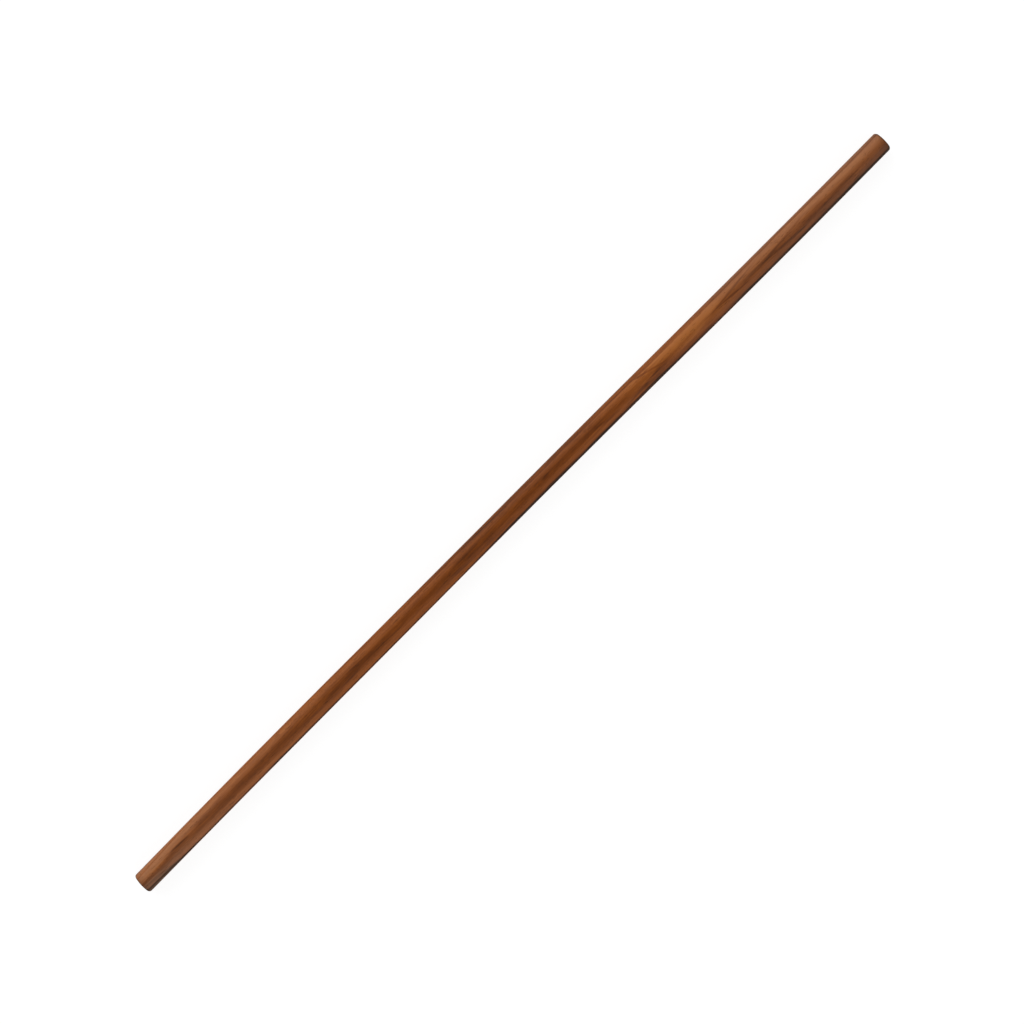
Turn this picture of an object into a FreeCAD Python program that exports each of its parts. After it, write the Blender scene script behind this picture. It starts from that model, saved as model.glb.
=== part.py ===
"""One stick of a devil stick set: a plain hardwood dowel, cut square to length, with both end edges eased.

The stick lies along X, centred on the origin, with its axis on the X axis.
"""

import FreeCAD
import Part
import Sketcher

import os

OUT_FOLDER = "parts"
ORIGIN_POINT = (-1, 1)  # a sketch's own origin, as (geometry, point)
CIRCLE_CENTRE = (0, 3)  # the centre of a sketch's first circle

DRIVING_DIMENSIONS = (
    # alias, millimetres, what it is
    ("stick_length", 475.0, "overall length, end face to end face"),
    ("stick_diameter", 10.0, "diameter of the dowel stock"),
    ("edge_radius", 1.5, "radius sanded round the rim of each end"),
)


def make_sheet(doc):
    """The spreadsheet that holds every driving dimension."""
    sheet = doc.addObject("Spreadsheet::Sheet", "dims")
    for row, (alias, value, meaning) in enumerate(DRIVING_DIMENSIONS, start=1):
        sheet.set(f"A{row}", alias)
        sheet.set(f"B{row}", str(value))
        sheet.set(f"C{row}", meaning)
        sheet.setAlias(f"B{row}", alias)
    doc.recompute()
    return sheet


def origin_plane(body, role):
    """One of the body's own origin planes, such as YZ_Plane."""
    return next(f for f in body.Origin.OriginFeatures if f.Role == role)


def end_rims(shape, axis=FreeCAD.Vector(1, 0, 0)):
    """Names of the circular edges that ring the two ends."""
    return [
        f"Edge{number}"
        for number, edge in enumerate(shape.Edges, start=1)
        if isinstance(edge.Curve, Part.Circle) and edge.Curve.Axis.cross(axis).Length < 1e-6
    ]


def make_stick(doc):
    """The dowel: its round section, padded both ways from the middle, then eased at both ends."""
    body = doc.addObject("PartDesign::Body", "stick")
    body.Label = "stick"

    section = body.newObject("Sketcher::SketchObject", "dowel_section")
    section.AttachmentSupport = [(origin_plane(body, "YZ_Plane"), "")]
    section.MapMode = "FlatFace"
    section.addGeometry(Part.Circle(FreeCAD.Vector(), FreeCAD.Vector(0, 0, 1), 1.0))
    section.addConstraint(Sketcher.Constraint("Coincident", *CIRCLE_CENTRE, *ORIGIN_POINT))
    diameter = section.addConstraint(Sketcher.Constraint("Diameter", 0, 2.0))
    section.renameConstraint(diameter, "diameter")
    section.setExpression("Constraints.diameter", "dims.stick_diameter")

    dowel = body.newObject("PartDesign::Pad", "dowel")
    dowel.Profile = section
    dowel.SideType = "Symmetric"
    dowel.setExpression("Length", "dims.stick_length")
    doc.recompute()

    eased_ends = body.newObject("PartDesign::Fillet", "eased_ends")
    eased_ends.Base = (dowel, end_rims(dowel.Shape))
    eased_ends.setExpression("Radius", "dims.edge_radius")
    doc.recompute()
    return body


def check_document(doc):
    """Stops if recomputing left any object failed."""
    failed = [o.Name for o in doc.Objects if {"Invalid", "Error"} & set(o.State)]
    if failed:
        raise RuntimeError(f"these objects failed to recompute: {failed}")


def check_shape(node):
    """Stops if a sub-part has no sound closed solid."""
    shape = node.Shape
    if shape.isNull() or not shape.isValid() or len(shape.Solids) != 1 or shape.Volume <= 0:
        raise RuntimeError(f"{node.Label} has no sound solid")


def main():
    doc = FreeCAD.newDocument("devil_stick")
    make_sheet(doc)
    nodes = [make_stick(doc)]
    check_document(doc)
    for node in nodes:
        check_shape(node)

    os.makedirs(OUT_FOLDER, exist_ok=True)
    for node in nodes:
        node.Shape.exportStep(os.path.join(OUT_FOLDER, f"{node.Label}.step"))
        box = node.Shape.optimalBoundingBox()
        print(f"{node.Label}: {box.XLength:.2f} x {box.YLength:.2f} x {box.ZLength:.2f} mm,"
              f" {node.Shape.Volume / 1000:.2f} cm3")


main()
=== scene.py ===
"""A devil stick's hand stick in oiled walnut, lying on a pale floor and seen from straight above."""

import math
import random

import bpy
import numpy as np
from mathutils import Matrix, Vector, noise


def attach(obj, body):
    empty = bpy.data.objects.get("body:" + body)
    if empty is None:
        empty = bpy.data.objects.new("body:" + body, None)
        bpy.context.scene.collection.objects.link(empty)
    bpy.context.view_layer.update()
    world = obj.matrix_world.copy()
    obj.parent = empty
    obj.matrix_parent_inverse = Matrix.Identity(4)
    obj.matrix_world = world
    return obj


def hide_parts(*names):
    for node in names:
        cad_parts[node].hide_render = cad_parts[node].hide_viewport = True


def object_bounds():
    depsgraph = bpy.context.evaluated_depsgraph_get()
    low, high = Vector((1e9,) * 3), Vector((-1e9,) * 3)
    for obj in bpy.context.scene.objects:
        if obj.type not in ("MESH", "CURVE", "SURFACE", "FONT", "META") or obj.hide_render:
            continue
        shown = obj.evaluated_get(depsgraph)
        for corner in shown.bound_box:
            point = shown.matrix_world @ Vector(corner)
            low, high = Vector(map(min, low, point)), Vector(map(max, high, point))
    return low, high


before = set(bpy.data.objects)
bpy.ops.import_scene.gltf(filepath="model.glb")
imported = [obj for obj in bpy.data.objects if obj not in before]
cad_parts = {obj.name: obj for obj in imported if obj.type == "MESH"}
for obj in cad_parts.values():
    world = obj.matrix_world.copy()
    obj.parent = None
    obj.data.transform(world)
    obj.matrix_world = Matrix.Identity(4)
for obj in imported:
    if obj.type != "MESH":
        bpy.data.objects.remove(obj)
CAD_LOW, CAD_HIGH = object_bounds()

MM = 0.001
LENGTH = CAD_HIGH.x - CAD_LOW.x
HALF = LENGTH / 2
RADIUS = (CAD_HIGH.y - CAD_LOW.y) / 2
MIDDLE = (CAD_LOW + CAD_HIGH) / 2


# ------------------------------------------------------------------ camera

CAMERA_HEIGHT = 2.0
CAMERA_TURN = math.radians(45.04)
PICTURE_WIDTH = 0.9731 * LENGTH  # at the height of the stick's axis


def add_camera():
    """Looks straight down, turned so that the stick runs from the lower left to the upper right."""
    data = bpy.data.cameras.new("camera")
    data.lens = data.sensor_width * CAMERA_HEIGHT / PICTURE_WIDTH
    camera = bpy.data.objects.new("camera", data)
    camera.location = MIDDLE + Vector((0, 0, CAMERA_HEIGHT))
    camera.rotation_euler = (0, 0, -CAMERA_TURN)
    bpy.context.scene.collection.objects.link(camera)
    bpy.context.scene.camera = camera


add_camera()


# ------------------------------------------------------------------ node trees


class Tree:
    """A node tree, with one short call for each kind of node. A socket given as an input is linked."""

    def __init__(self, owner):
        owner.use_nodes = True
        self.tree = owner.node_tree
        self.tree.nodes.clear()

    def node(self, kind, settings=None, **inputs):
        """A node of that kind. An input's name has _ for each space."""
        made = self.tree.nodes.new("ShaderNode" + kind)
        for name, value in (settings or {}).items():
            setattr(made, name, value)
        for name, value in inputs.items():
            self.feed(made.inputs[name.replace("_", " ")], value)
        return made

    def feed(self, socket, value):
        """Links the value to the socket if it is a socket itself, and otherwise sets it there."""
        if isinstance(value, bpy.types.NodeSocket):
            self.tree.links.new(value, socket)
        else:
            socket.default_value = value

    def maths(self, operation, *values):
        made = self.node("Math", {"operation": operation})
        for socket, value in zip(made.inputs, values):
            self.feed(socket, value)
        return made.outputs[0]

    def vector(self, operation, *values):
        made = self.node("VectorMath", {"operation": operation})
        for socket, value in zip(made.inputs, values):
            self.feed(socket, value)
        return made.outputs["Value" if operation in ("LENGTH", "DOT_PRODUCT") else "Vector"]

    def split(self, vector):
        return self.node("SeparateXYZ", Vector=vector).outputs

    def stretched(self, vector, along, across):
        """The vector in units of along for X, and of across for Y and Z."""
        return self.vector("MULTIPLY", vector, (1 / along, 1 / across, 1 / across))

    def noise(self, vector, detail=2.0, roughness=0.5, output="Fac"):
        made = self.node("TexNoise", Vector=vector, Scale=1.0, Detail=detail, Roughness=roughness)
        return made.outputs[output]

    def remap(self, value, low, high, to_low=0.0, to_high=1.0, smooth=True):
        kind = "SMOOTHSTEP" if smooth else "LINEAR"
        made = self.node("MapRange", {"interpolation_type": kind}, Value=value,
                         From_Min=low, From_Max=high, To_Min=to_low, To_Max=to_high)
        return made.outputs["Result"]

    def ramp(self, value, stops, interpolation="EASE"):
        """A colour ramp. Each stop is a place from 0 to 1 and a colour or a grey."""
        made = self.node("ValToRGB", Fac=value)
        ramp = made.color_ramp
        ramp.interpolation = interpolation
        while len(ramp.elements) < len(stops):
            ramp.elements.new(1.0)
        for element, (place, colour) in zip(ramp.elements, stops):
            element.position = place
            element.color = (*colour, 1) if isinstance(colour, tuple) else (colour, colour, colour, 1)
        return made.outputs["Color"]

    def mix(self, factor, a, b):
        """Colour a where the factor is 0, and colour b where it is 1."""
        made = self.node("Mix", {"data_type": "RGBA"})
        for index, value in ((0, factor), (6, a), (7, b)):
            self.feed(made.inputs[index], value)
        return made.outputs[2]


# ------------------------------------------------------------------ the stick's shape

ROUND = 96  # points in a ring
SHAFT_STEP = 0.5 * MM
DOME = 0.38 * MM
RIM_RADIUS = 1.3 * MM
RIM_STEPS = 8
FACE_STEPS = 6
CUT_LEAN = math.radians(2.2)
CUT_REACH = 14 * MM
RIM_WEAR = 0.09 * MM
LONG_WAVES = 0.02 * MM
SHORT_WAVES = 0.012 * MM
SEED_SHIFT = (17.3, 5.1, 9.7)  # how far each seed moves the noise

# The bow's amounts, in millimetres. They are a least-squares fit, made by a separate program, to the
# stick's middle line as measured in the photograph. BOW_OFFSET was then moved.
BOW = 0.575
BOW_DETAIL = 0.062
BOW_OFFSET = 0.316
TILT = 0.585
SWEEP = 0.237
SWEEP_DETAIL = 0.129

# How uneven the radius and the rims are, in millimetres, and the swelling's wave as a share of the length.
SWELL_MEAN = 0.055
SWELL_RANGE = 0.075
SWELL_WAVE = 0.65
RIM_BUMPS = 0.10
RIM_LOSS = 0.04

# The knocks: how far from the end they are, how wide and how deep, in millimetres.
DENT_SEED = 11
DENTS_ON_EACH_END = 7
DENT_FROM_END = (0.5, 30)
DENT_REACH = (0.7, 1.5)
DENT_DEPTH = (0.03, 0.09)

# The layout of the textures' flat map: the number of strips, then shares of the map.
STRIPS = 3
GAP = 0.01
DISC_HEIGHT = 0.12
DISCS_MIDDLE = 0.14
DISCS_APART = 0.14


def end_profile():
    """The right end's rings, from its middle outwards: x, radius, and the normal's x and radius."""
    middle = RADIUS - RIM_RADIUS
    start = math.atan(2 * DOME / middle)
    face = middle + RIM_RADIUS * math.sin(start)
    rings = []
    for k in range(1, FACE_STEPS + 1):
        share = k / FACE_STEPS
        rings.append((HALF - DOME * share ** 2, face * share, 1.0, 0.0))
    centre = HALF - DOME - RIM_RADIUS * math.cos(start)
    for k in range(1, RIM_STEPS + 1):
        turn = start + (math.pi / 2 - start) * k / RIM_STEPS
        c, s = math.cos(turn), math.sin(turn)
        rings.append((centre + RIM_RADIUS * c, middle + RIM_RADIUS * s, c, s))
    return rings


def profile():
    """Every ring from the left end to the right one."""
    right = end_profile()
    left = [(-x, r, -nx, nr) for x, r, nx, nr in right]
    straight = right[-1][0]
    count = round(2 * straight / SHAFT_STEP)
    shaft = [(x, RADIUS, 0.0, 1.0) for x in np.linspace(-straight, straight, count + 1)[1:-1]]
    return np.array(left + shaft + right[::-1])


def bow(x):
    """How far the stick's middle line is from a straight one, in Y: a long bow with a slight sweep."""
    along = math.pi * x / LENGTH
    sweep = TILT * x / LENGTH - SWEEP * np.sin(2 * along) + SWEEP_DETAIL * np.sin(4 * along)
    return MM * (BOW * np.cos(along) + BOW_DETAIL * np.cos(3 * along) - BOW_OFFSET + sweep)


def swell(x):
    """How far the radius is over its nominal size: least at the middle, most two thirds of the way out."""
    return MM * (SWELL_MEAN - SWELL_RANGE * np.cos(2 * math.pi * x / (SWELL_WAVE * LENGTH)))


def bumps(points, along, across, seed):
    """Smooth noise from about -1 to 1 on each point, stretched along X."""
    shift = Vector([seed * step for step in SEED_SHIFT])
    places = (Vector((x / along, y / across, z / across)) for x, y, z in points)
    return np.array([noise.noise(place + shift) for place in places])


def dents(points):
    """Small knocks near both ends, as depths."""
    rng = random.Random(DENT_SEED)
    depth = np.zeros(len(points))
    for side in (-1, 1):
        for _ in range(DENTS_ON_EACH_END):
            x = side * (HALF - rng.uniform(*DENT_FROM_END) * MM)
            turn = rng.uniform(0, 2 * math.pi)
            centre = np.array([x, RADIUS * math.sin(turn), RADIUS * math.cos(turn)])
            reach = rng.uniform(*DENT_REACH) * MM
            distance = np.linalg.norm(points - centre, axis=1) / reach
            depth += rng.uniform(*DENT_DEPTH) * MM * np.exp(-distance ** 2)
    return depth


def slant(x, y):
    """How far the left end's points move in X, because it was cut about two degrees off square."""
    lean = math.tan(CUT_LEAN) * (y + RADIUS)
    return lean * np.clip((-HALF + CUT_REACH - x) / CUT_REACH, 0, 1)


def wear(x, side):
    """How far the rim is rounded off further by use: only on the +Y side of the right end."""
    return RIM_WEAR * np.clip(side, 0, 1) ** 2 * (x > 0)


def stick_points(rings, turns):
    """Every point of the surface: a straight stick, made uneven and worn, then slanted and bowed."""
    x, r, nx, nr = (np.repeat(column, ROUND) for column in rings.T)
    turn = np.tile(turns, len(rings))
    side, up = np.sin(turn), -np.cos(turn)
    points = np.stack([x, r * side, r * up], 1)
    normals = np.stack([nx, nr * side, nr * up], 1)
    rim = 4 * (nx * nr) ** 2
    out = nr * (swell(x) + LONG_WAVES * bumps(points, 24 * MM, 5 * MM, 1))
    out = out + SHORT_WAVES * bumps(points, 3 * MM, 1.6 * MM, 2)
    out = out + rim * MM * (RIM_BUMPS * bumps(points, 3.5 * MM, 3.5 * MM, 3) - RIM_LOSS)
    out = out - rim * wear(x, side) - dents(points)
    points = points + normals * out[:, None]
    points[:, 0] += slant(points[:, 0], points[:, 1])
    points[:, 1] += bow(points[:, 0])
    return points


def stick_faces(count):
    """Quads between the rings, as corner numbers."""
    ring, k = np.meshgrid(np.arange(count - 1), np.arange(ROUND), indexing="ij")
    n = (k + 1) % ROUND
    a, b = ring * ROUND, (ring + 1) * ROUND
    return np.stack([a + k, b + k, b + n, a + n], -1).reshape(-1, 4)


def corner_places(count):
    """The ring and the turn from 0 to 1 of each quad's corners, in the quads' order."""
    ring, k = np.meshgrid(np.arange(count - 1), np.arange(ROUND), indexing="ij")
    rings = np.stack([ring, ring + 1, ring + 1, ring], -1)
    turns = np.stack([k, k, k + 1, k + 1], -1) / ROUND
    return rings.reshape(-1, 4), turns.reshape(-1, 4)


def disc_place(side, reach, turns):
    """Map places on an end's disc: side is -1 or 1, and reach is a distance from the end's middle."""
    middle = DISCS_MIDDLE + DISCS_APART / 2 * side
    height = 1 - DISC_HEIGHT / 2
    angle = -2 * math.pi * turns
    share = reach * DISC_HEIGHT / 2 / (RADIUS + RIM_RADIUS)
    return np.stack([middle + side * share * np.cos(angle), height + share * np.sin(angle)], -1)


def strip_place(first, last, rings, turns):
    """Map places on the shaft, which lies in STRIPS strips, one above the other."""
    length = (last - first) / STRIPS
    strip = np.clip((rings[:, :1] - first) // length, 0, STRIPS - 1)
    along = (rings - first - strip * length) / length
    height = (1 - DISC_HEIGHT) / STRIPS
    return np.stack([GAP + along * (1 - 2 * GAP), (strip + GAP + turns * (1 - 2 * GAP)) * height], -1)


def bake_layout(mesh, count):
    """Lays the surface out flat for textures."""
    last_of_end = FACE_STEPS + RIM_STEPS - 1
    rings, turns = corner_places(count)
    x, radius = np.array(end_profile())[:, :2].T
    reach = np.cumsum(np.hypot(np.diff(x, prepend=HALF), np.diff(radius, prepend=0)))
    places = strip_place(last_of_end, count - 1 - last_of_end, rings, turns)
    fans = []
    for side, inward in ((-1, rings), (1, count - 1 - rings)):
        on_end = (inward <= last_of_end).all(1)
        places[on_end] = disc_place(side, reach[inward[on_end]], turns[on_end])
        edge = np.arange(ROUND)[:, None] + ((0, 0, 1) if side < 0 else (0, 1, 0))
        fans.append(disc_place(side, reach[0] * np.array((0, 1, 1)), edge / ROUND))
    layer = mesh.uv_layers.new(name="OFBake")
    flat = np.concatenate([places.reshape(-1), fans[0].reshape(-1), fans[1].reshape(-1)])
    layer.data.foreach_set("uv", flat)


def make_stick():
    """One closed surface: quads between the rings, and a fan of triangles over each end's middle."""
    rings = profile()
    turns = np.linspace(0, 2 * math.pi, ROUND, endpoint=False)
    points = stick_points(rings, turns)
    quads = stick_faces(len(rings))
    left, right = len(points), len(points) + 1
    points = np.vstack([points, points[:ROUND].mean(0), points[-ROUND:].mean(0)])
    k = np.arange(ROUND)
    n = (k + 1) % ROUND
    last = (len(rings) - 1) * ROUND
    fans = [(left, int(a), int(b)) for a, b in zip(k, n)]
    fans += [(right, int(last + b), int(last + a)) for a, b in zip(k, n)]
    mesh = bpy.data.meshes.new("turned_stick")
    mesh.from_pydata(points.tolist(), [], quads.tolist() + fans)
    mesh.polygons.foreach_set("use_smooth", [True] * len(mesh.polygons))
    bake_layout(mesh, len(rings))
    stick = bpy.data.objects.new("turned_stick", mesh)
    bpy.context.scene.collection.objects.link(stick)
    return stick


# ------------------------------------------------------------------ walnut

HONEY = (0.330, 0.104, 0.019)
TAN = (0.240, 0.065, 0.0085)
BROWN = (0.165, 0.041, 0.0044)
DARK = (0.095, 0.0235, 0.0034)
DARKEST = (0.038, 0.0132, 0.0032)
BLACK = (0.021, 0.0078, 0.0018)
DRY = (0.290, 0.145, 0.080)

# Each of these changes along the stick: (millimetres from its middle, value).
# RING_RISE, STREAK_AND_SHADE_SIDE, STREAK_AND_SHADE_WIDTH and LINE_WIDTH are in millimetres too, and the others have no unit.
RING_RISE = (
    (-237.5, 1.2), (-218, 1.8), (-196, 2.3), (-150, 1.95), (-110, 2.15), (-62, 2.0), (-30, 2.3),
    (-8, 1.6), (25, 1.25), (60, 1.5), (90, 1.1), (112, 1.0), (131, 1.2), (162, 1.5), (190, 1.8),
    (215, 1.5), (237.5, 2.0),
)
# The next two tables place the darker streak, which is partly wood and partly painted shade.
STREAK_AND_SHADE_SIDE = (
    (-237.5, -2.2), (-205, -1.0), (-100, -0.5), (40, -0.8), (80, -2.4), (112, -4.6), (132, -2.6),
    (237.5, -2.9),
)
STREAK_AND_SHADE_WIDTH = (
    (-237.5, 0.7), (-200, 1.6), (-150, 2.0), (-105, 1.4), (-40, 1.8), (15, 1.6), (60, 0.9),
    (112, 1.6), (140, 3.0), (237.5, 3.2),
)
PALENESS = (
    (-237.5, 0.50), (-205, 0.42), (-160, 0.26), (-60, 0.06), (15, -0.18), (60, 0.08), (80, 0.30),
    (100, 0.58), (118, 0.66), (132, 0.50), (150, 0.34), (190, 0.50), (237.5, 0.44),
)
DRYNESS = (
    (-237.5, 0.50), (-205, 0.36), (-160, 0.16), (-60, 0.0), (60, 0.02), (110, 0.08), (150, 0.32),
    (237.5, 0.42),
)
# The next two tables are painted shade down the +Y and -Y sides of the upper half.
UPPER_SHADE = (
    (-237.5, 0.40), (-205, 0.10), (-150, 0.0), (-90, 0.04), (-20, 0.20), (30, 0.20), (80, 0.26),
    (110, 0.42), (237.5, 0.50),
)
LOWER_SHADE = (
    (-237.5, 0.60), (-215, 0.34), (-190, 0.08), (-100, 0.0), (0, 0.0), (70, 0.08), (100, 0.36),
    (122, 0.36), (145, 0.16), (165, 0.28), (190, 0.40), (237.5, 0.52),
)
# Below: the width of the dark line of painted shade along the -Y edge.
LINE_WIDTH = (
    (-237.5, 1.85), (-219, 1.60), (-205, 0.95), (-190, 0.90), (-140, 0.95), (-90, 0.50), (-40, 0.55),
    (0, 1.05), (50, 1.35), (80, 1.65), (103, 1.00), (150, 1.25), (185, 1.50), (237.5, 1.40),
)
# The dark line is painted shade along the -Y edge.
LINE_HEIGHT = 1.9  # millimetres from the stick's axis up to the dark line on its -Y side

# Marks on the upper side: (x, y, half length, half width) in millimetres, slope, and darkness, which is
# below zero in a pale mark.
MARKS = (
    (-228, -3.5, 10, 0.7, -0.12, 0.28),
    (-228, 0.1, 9, 0.9, 0.0, -0.26),
    (-213, 0.5, 6, 0.5, -0.04, 0.38),
    (-190, 1.8, 14, 0.7, 0.02, 0.14),
    (-75, 1.6, 42, 1.5, 0.0, 0.10),
    (18, 3.7, 22, 0.9, 0.0, -0.20),
    (32, 1.7, 46, 1.3, 0.0, 0.14),
    (28, -1.3, 48, 1.1, 0.0, -0.12),
    (22, 0.6, 3, 0.9, 0.0, 0.22),
    (59, -0.9, 8, 0.7, -0.10, 0.18),
    (88, 1.5, 9, 0.5, -0.25, 0.30),
    (81, -2.2, 13, 0.6, 0.09, 0.18),
    (95, -1.2, 8, 1.1, 0.0, 0.34),
    (114, 1.7, 17, 1.6, 0.0, -0.14),
    (143, 1.1, 14, 0.5, 0.10, 0.34),
    (141, -1.2, 11, 0.5, -0.08, 0.30),
    (154, -0.5, 10, 1.1, 0.0, 0.20),
    (173, 0.5, 13, 0.6, 0.09, 0.28),
    (172, -1.6, 11, 0.6, -0.07, 0.26),
    (190, -1.6, 12, 1.0, 0.0, 0.14),
    (207, -1.2, 12, 0.8, 0.03, 0.16),
)

# The growth rings, in millimetres.
RING_PITCH = 2.6
PITH = (0, 6.0, -70.0)

# How dark the wood is, from 0 for HONEY to BLACK_TONE for BLACK, and how much each feature adds to it.
# PALE_TONE is how much paleness over the usual takes off it.
BLACK_TONE = 1.25
PLAIN_TONE = 0.20
LATE_TONE = 0.26
STREAK_AND_SHADE_TONE = 0.15
# The next value darkens the painted shade along the -Y edge.
LINE_TONE = 0.95
BROAD_TONE = 0.50
MOTTLE_TONE = 0.34
BAND_TONE = 0.45
FIBRE_TONE = 0.42
PALE_TONE = 0.55
USUAL_PALENESS = 0.3

DARK_WOOD_OIL = 0.6  # how much of its oil dark wood keeps at the dry ends
PORE_SHADE = 0.55  # how far the pores turn to DARKEST
END_SHADE = 0.45  # how far the end faces do
ROUGHNESS = 0.42
FIBRE_ROUGHNESS = 0.16
PORE_ROUGHNESS = 0.15
SPECULAR = 0.10

# The relief: its depth and strength, and the shares of it that fibres and late wood have beside a pore.
RELIEF = 0.05 * MM
RELIEF_STRENGTH = 0.5
FIBRE_RELIEF = 0.6
LATE_RELIEF = 0.3


def read_place(t):
    """Each point's place in millimetres."""
    coord = t.node("TexCoord")
    made = t.node("VectorMath", {"operation": "SCALE"}, Vector=coord.outputs["Object"], Scale=1 / MM)
    return made.outputs["Vector"]


def read_ends(t, place):
    """1 on the two end faces, falling to 0 over the last few millimetres of the shaft."""
    normal = t.split(t.node("TexCoord").outputs["Normal"])
    faces = t.remap(t.maths("ABSOLUTE", normal["X"]), 0.15, 0.85)
    beyond = t.maths("ABSOLUTE", t.split(place)["X"])
    # Also darker over the last few millimetres of the shaft.
    towards_end = t.remap(beyond, HALF / MM - 4.5, HALF / MM - 0.3, 0.0, 0.5)
    return t.maths("MAXIMUM", faces, towards_end)


def along_stick(t, place, points):
    """A value that changes along the stick. Each point is a place in millimetres and its value."""
    places, values = zip(*points)
    low, high = min(values), max(values)
    share = t.remap(t.split(place)["X"], places[0], places[-1], smooth=False)
    made = t.node("FloatCurve", Value=share)
    curve = made.mapping.curves[0]
    while len(curve.points) < len(points):
        curve.points.new(1.0, 1.0)
    span = places[-1] - places[0]
    for point, (x, value) in zip(curve.points, points):
        point.location = ((x - places[0]) / span, (value - low) / (high - low))
    made.mapping.update()
    return t.remap(made.outputs["Value"], 0.0, 1.0, low, high, smooth=False)


def around(t, value, amount):
    """Noise from 0 to 1, as a signed amount around zero."""
    return t.maths("MULTIPLY", t.maths("SUBTRACT", value, 0.5), amount)


def bent_grain(t, place):
    """The point's place among the fibres, which wander slowly across the stick."""
    wander = t.noise(t.stretched(place, 110, 26), detail=1.0, output="Color")
    wander = t.vector("SUBTRACT", wander, (0.5, 0.5, 0.5))
    wander = t.vector("MULTIPLY", wander, (0, 3.4, 2.4))
    return t.vector("ADD", place, wander)


def late_wood(t, place, grain):
    """1 in the dark line that closes each growth ring, and low in the early wood."""
    fuzz = t.noise(t.stretched(place, 13, 1.0), detail=3.0, roughness=0.6)
    from_pith = t.vector("MULTIPLY", t.vector("SUBTRACT", grain, PITH), (0, 1, 1))
    depth = t.maths("ADD", t.vector("LENGTH", from_pith), along_stick(t, place, RING_RISE))
    depth = t.maths("ADD", t.maths("SUBTRACT", depth, -PITH[2]), around(t, fuzz, 1.1))
    ring = t.maths("FRACT", t.maths("DIVIDE", depth, RING_PITCH))
    darkness = ((0.0, 0.30), (0.06, 0.0), (0.45, 0.08), (0.72, 0.42), (0.90, 1.0), (1.0, 0.30))
    return t.ramp(ring, darkness)


def streak_and_painted_shade(t, place, grain):
    """1 in the darker streak that wanders along the upper side, partly a wood streak and partly painted
    shade along its middle.
    """
    across = t.maths("SUBTRACT", t.split(grain)["Y"], along_stick(t, place, STREAK_AND_SHADE_SIDE))
    fuzz = t.noise(t.stretched(place, 18, 1.2), detail=4.0, roughness=0.65)
    across = t.maths("ABSOLUTE", t.maths("ADD", around(t, fuzz, 4.5), across))
    share = t.maths("DIVIDE", across, along_stick(t, place, STREAK_AND_SHADE_WIDTH))
    return t.remap(share, 0.45, 1.45, 1.0, 0.0)


def painted_edge_line(t, place, bands):
    """1 in a dark line of painted shade that runs along the -Y side, drawn like a grain line."""
    at = t.split(place)
    fuzz = t.noise(t.stretched(place, 18, 1.2), detail=4.0, roughness=0.65)
    across = t.maths("SUBTRACT", t.maths("ADD", at["Z"], around(t, fuzz, 0.9)), LINE_HEIGHT)
    share = t.maths("DIVIDE", t.maths("ABSOLUTE", across), along_stick(t, place, LINE_WIDTH))
    line = t.maths("MULTIPLY", t.remap(share, 0.25, 1.3, 1.0, 0.0), t.remap(at["Y"], -1.0, -3.0))
    return t.maths("MULTIPLY", line, t.remap(bands, 0.38, 0.58, 0.55, 1.0))


def side_shade(t, place, grain):
    """Painted shade: how much darker the colour is made down each side of the upper half than along its
    crown.
    """
    side = t.split(grain)["Y"]
    upper = t.maths("MULTIPLY", t.remap(side, 2.0, 4.7), along_stick(t, place, UPPER_SHADE))
    lower = t.maths("MULTIPLY", t.remap(side, 1.0, -3.8), along_stick(t, place, LOWER_SHADE))
    return t.maths("MULTIPLY", t.maths("ADD", upper, lower), t.remap(t.split(place)["Z"], -1.5, 1.0))


def mark(t, place, fuzz, x, y, length, width, slope):
    """1 in a short mark on the upper side of the stick."""
    away = t.split(t.vector("SUBTRACT", place, (x, y, RADIUS / MM)))
    across = t.maths("MULTIPLY_ADD", away["X"], -slope, away["Y"])
    straight = t.node("CombineXYZ", X=away["X"], Y=across, Z=away["Z"]).outputs["Vector"]
    scaled = t.vector("MULTIPLY", straight, (1 / length, 1 / width, 0.25))
    away = t.maths("ADD", t.vector("LENGTH", scaled), around(t, fuzz, 1.4))
    return t.remap(away, 0.35, 1.35, 1.0, 0.0)


def all_marks(t, place):
    """How much darker the wood is in its marks, or paler where that is below zero."""
    fuzz = t.noise(t.stretched(place, 9, 0.9), detail=3.0, roughness=0.6)
    total = 0.0
    for x, y, length, width, slope, darkness in MARKS:
        inside = mark(t, place, fuzz, x, y, length, width, slope)
        total = t.maths("MULTIPLY_ADD", inside, darkness, total)
    return total


def vessels(t, place, length, spacing, seed):
    """Open vessels that run along the grain: 1 in a pore, 0 outside it."""
    moved = t.vector("ADD", place, (seed, seed, seed))
    cells = t.node("TexVoronoi", Vector=t.stretched(moved, length, spacing), Scale=1.0)
    size = t.remap(t.noise(t.stretched(moved, 24, 1.6), detail=2.0), 0.38, 0.62, 0.03, 0.24)
    open_part = t.maths("SUBTRACT", size, cells.outputs["Distance"])
    return t.remap(open_part, 0.0, 0.06)


def wood_tone(t, place, features, noises):
    """How dark the wood is, painted shade included. features and noises hold pairs: a value, and how much
    it darkens it.
    """
    tone = PLAIN_TONE
    for value, amount in features:
        tone = t.maths("MULTIPLY_ADD", value, amount, tone)
    for value, amount in noises:
        tone = t.maths("ADD", around(t, value, amount), tone)
    paleness = t.maths("SUBTRACT", along_stick(t, place, PALENESS), USUAL_PALENESS)
    return t.maths("MULTIPLY_ADD", paleness, -PALE_TONE, tone)


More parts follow.
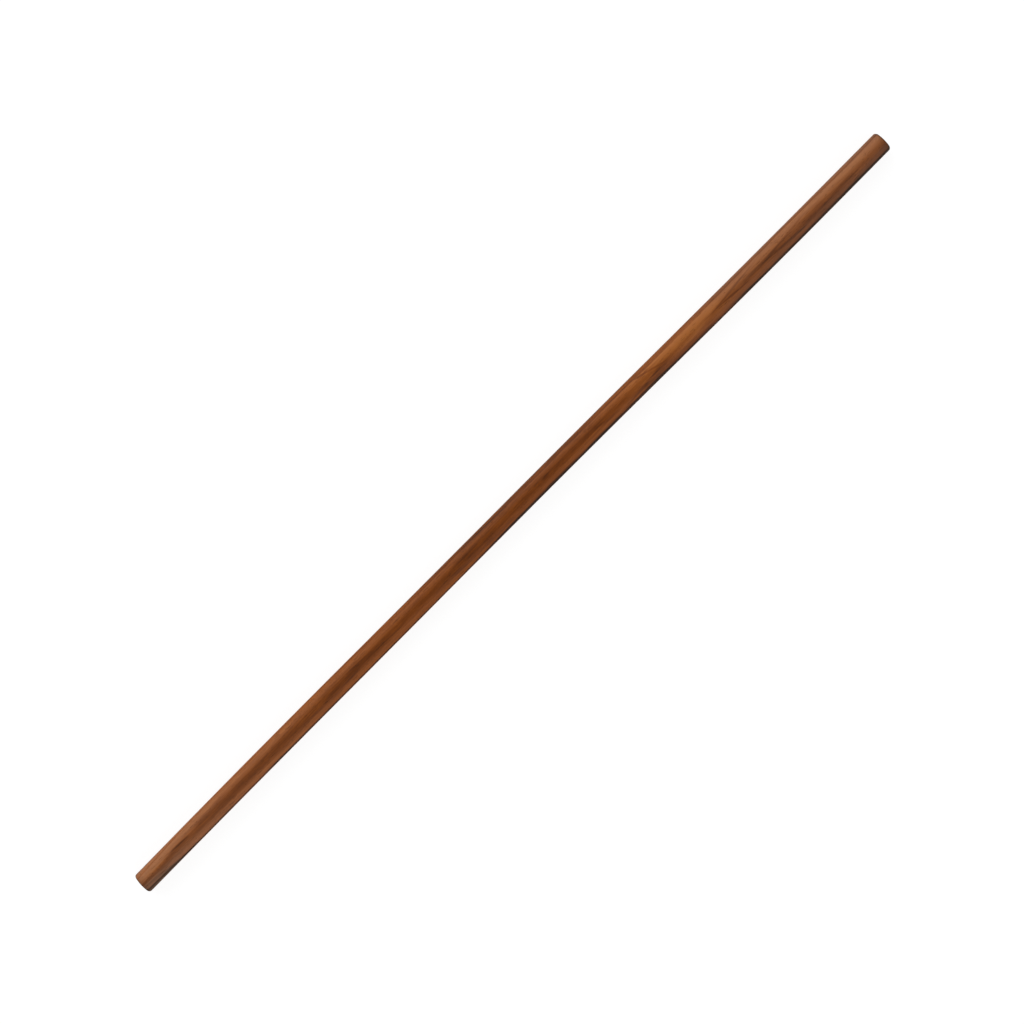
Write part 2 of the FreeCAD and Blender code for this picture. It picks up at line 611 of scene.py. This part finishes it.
def wood_colour(t, place, tone, drying):
    """The tone's colour, turned towards DRY at the dry ends. drying is 0 where wood keeps its oil."""
    tints = ((0.0, HONEY), (0.2, TAN), (0.44, BROWN), (0.64, DARK), (0.82, DARKEST), (1.0, BLACK))
    colour = t.ramp(t.maths("MULTIPLY", tone, 1 / BLACK_TONE), tints, "LINEAR")
    return t.mix(t.maths("MULTIPLY", along_stick(t, place, DRYNESS), drying), colour, (*DRY, 1))


def walnut():
    """Oiled walnut: rings, streaks, marks, noise and painted shade set how dark it is, and that sets its
    colour.
    """
    material = bpy.data.materials.new("oiled_walnut")
    t = Tree(material)
    place = read_place(t)
    grain = bent_grain(t, place)
    late = late_wood(t, place, grain)
    # A darker streak, partly wood and partly painted shade.
    streak_and_shade = streak_and_painted_shade(t, place, grain)
    broad = t.noise(t.stretched(grain, 55, 1.9), detail=3.0, roughness=0.55)
    mottle = t.noise(t.stretched(grain, 8, 1.7), detail=2.0, roughness=0.5)
    bands = t.noise(t.stretched(grain, 22, 0.55), detail=3.0, roughness=0.6)
    fibres = t.noise(t.stretched(place, 6, 0.16), detail=3.0, roughness=0.7)
    # A dark line of painted shade along the -Y edge of the upper side.
    line = painted_edge_line(t, place, bands)
    # Painted shade down both sides of the upper half.
    shade = side_shade(t, place, grain)
    marked = all_marks(t, place)
    features = ((late, LATE_TONE), (streak_and_shade, STREAK_AND_SHADE_TONE), (line, LINE_TONE), (shade, 1.0), (marked, 1.0))
    noises = ((broad, BROAD_TONE), (mottle, MOTTLE_TONE), (bands, BAND_TONE), (fibres, FIBRE_TONE))
    tone = wood_tone(t, place, features, noises)
    # Rings, the streak, the marks and the painted edge shade are kept from turning towards DRY.
    drying = t.maths("MULTIPLY_ADD", t.maths("MAXIMUM", late, streak_and_shade), -DARK_WOOD_OIL, 1.0)
    drying = t.maths("MULTIPLY_ADD", t.maths("MAXIMUM", marked, line), -DARK_WOOD_OIL, drying)
    colour = wood_colour(t, place, tone, drying)
    pore = t.maths("MAXIMUM", vessels(t, place, 8.0, 0.55, 0.0), vessels(t, place, 2.6, 0.34, 31.0))
    colour = t.mix(t.maths("MULTIPLY", pore, PORE_SHADE), colour, (*DARKEST, 1))
    colour = t.mix(t.maths("MULTIPLY", read_ends(t, place), END_SHADE), colour, (*DARKEST, 1))
    rough = t.maths("MULTIPLY_ADD", fibres, FIBRE_ROUGHNESS, ROUGHNESS)
    rough = t.maths("MULTIPLY_ADD", pore, PORE_ROUGHNESS, rough)
    height = t.maths("MULTIPLY_ADD", fibres, FIBRE_RELIEF, t.maths("MULTIPLY", late, LATE_RELIEF))
    height = t.maths("SUBTRACT", height, pore)
    bump = t.node("Bump", Strength=RELIEF_STRENGTH, Distance=RELIEF, Height=height)
    surface = t.node("BsdfPrincipled", Base_Color=colour, Roughness=rough, Specular_IOR_Level=SPECULAR,
                     Normal=bump.outputs["Normal"])
    t.node("OutputMaterial", Surface=surface.outputs["BSDF"])
    return material


stick = make_stick()
stick.data.materials.append(walnut())
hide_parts("stick")
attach(stick, "root")


# ------------------------------------------------------------------ floor and light

FLOOR_SIZE = 14
FLOOR_GREY = 0.6
SEEN_FLOOR_GREY = 0.2
SEEN_FLOOR_GLOW = 0.87

# Each softbox: its angle from straight up towards +Y, its strength, and how narrow it is.
UPPER_SOFTBOX = (78, 3.9, 4)
LOWER_SOFTBOX = (-70, 2.3, 4)
HORIZON_GLOW = 0.45
CEILING_GLOW = 0.15


def add_floor():
    """White paper. The camera sees it glow, so only a faint shadow shows, but the glow lights nothing."""
    bpy.ops.mesh.primitive_plane_add(size=FLOOR_SIZE, location=(0, 0, CAD_LOW.z))
    floor = bpy.context.object
    floor.name = "floor"
    material = bpy.data.materials.new("white_paper")
    t = Tree(material)
    paper = t.node("BsdfDiffuse", Color=(FLOOR_GREY,) * 3 + (1,))
    seen_paper = t.node("BsdfDiffuse", Color=(SEEN_FLOOR_GREY,) * 3 + (1,))
    glow = t.node("Emission", Color=(1, 1, 1, 1), Strength=SEEN_FLOOR_GLOW)
    glowing = t.node("AddShader")
    t.feed(glowing.inputs[0], seen_paper.outputs[0])
    t.feed(glowing.inputs[1], glow.outputs[0])
    either = t.node("MixShader", Fac=t.node("LightPath").outputs["Is Camera Ray"])
    t.feed(either.inputs[1], paper.outputs[0])
    t.feed(either.inputs[2], glowing.outputs[0])
    t.node("OutputMaterial", Surface=either.outputs[0])
    floor.data.materials.append(material)


def softbox(t, direction, degrees, strength, power):
    """Soft light from one side of the stick."""
    tilt = math.radians(degrees)
    facing = t.vector("DOT_PRODUCT", direction, (0, math.sin(tilt), math.cos(tilt)))
    facing = t.maths("MAXIMUM", facing, 0.0)
    return t.maths("MULTIPLY", t.maths("POWER", facing, power), strength)


def add_world():
    """A studio with a softbox on each side and a dim ceiling, which the camera sees as plain white."""
    world = bpy.data.worlds.new("studio")
    bpy.context.scene.world = world
    t = Tree(world)
    direction = t.node("TexCoord").outputs["Generated"]
    glow = t.remap(t.split(direction)["Z"], 0.1, 0.7, HORIZON_GLOW, CEILING_GLOW)
    glow = t.maths("ADD", glow, softbox(t, direction, *UPPER_SOFTBOX))
    glow = t.maths("ADD", glow, softbox(t, direction, *LOWER_SOFTBOX))
    seen = t.node("Mix", {"data_type": "FLOAT"}, Factor=t.node("LightPath").outputs["Is Camera Ray"])
    t.feed(seen.inputs[2], glow)
    t.feed(seen.inputs[3], 1.0)
    back = t.node("Background", Color=(1, 1, 1, 1), Strength=seen.outputs[0])
    t.node("OutputWorld", Surface=back.outputs["Background"])


add_floor()
add_world()
bpy.context.scene.view_settings.view_transform = "Standard"
